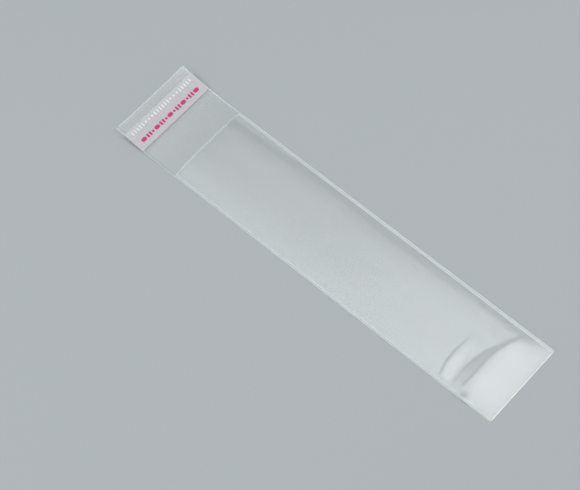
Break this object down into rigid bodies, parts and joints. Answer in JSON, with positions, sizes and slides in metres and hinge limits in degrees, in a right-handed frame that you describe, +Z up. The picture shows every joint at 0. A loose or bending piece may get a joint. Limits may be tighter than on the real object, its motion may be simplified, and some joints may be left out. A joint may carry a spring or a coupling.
{
  "type": "self-seal cellophane bag",
  "caption": "Clear flat self-seal cellophane bag, 24.5 by 5 cm, lying empty, with its seal flap open and a milky release liner over the adhesive strip.",
  "frame": {"origin": "on the table under the middle of the bag's outline, 122.5 mm from the bottom fold and from the end of the flap", "axes": "+X across the bag, +Y along it from the bottom fold to the end of the flap, +Z up from the table"},
  "size_m": [0.05, 0.245, 0.0039],
  "materials": {
    "clear_film": "clear polypropylene packing film, glossy, with a faint cool haze",
    "clear_adhesive": "clear pressure-sensitive acrylic adhesive",
    "milky_liner": "milky translucent release film, satin"
  },
  "bodies": {
    "root": {"film_bag": "clear_film", "adhesive_strip": "clear_adhesive", "release_liner": "milky_liner"}
  },
  "joints": []
}
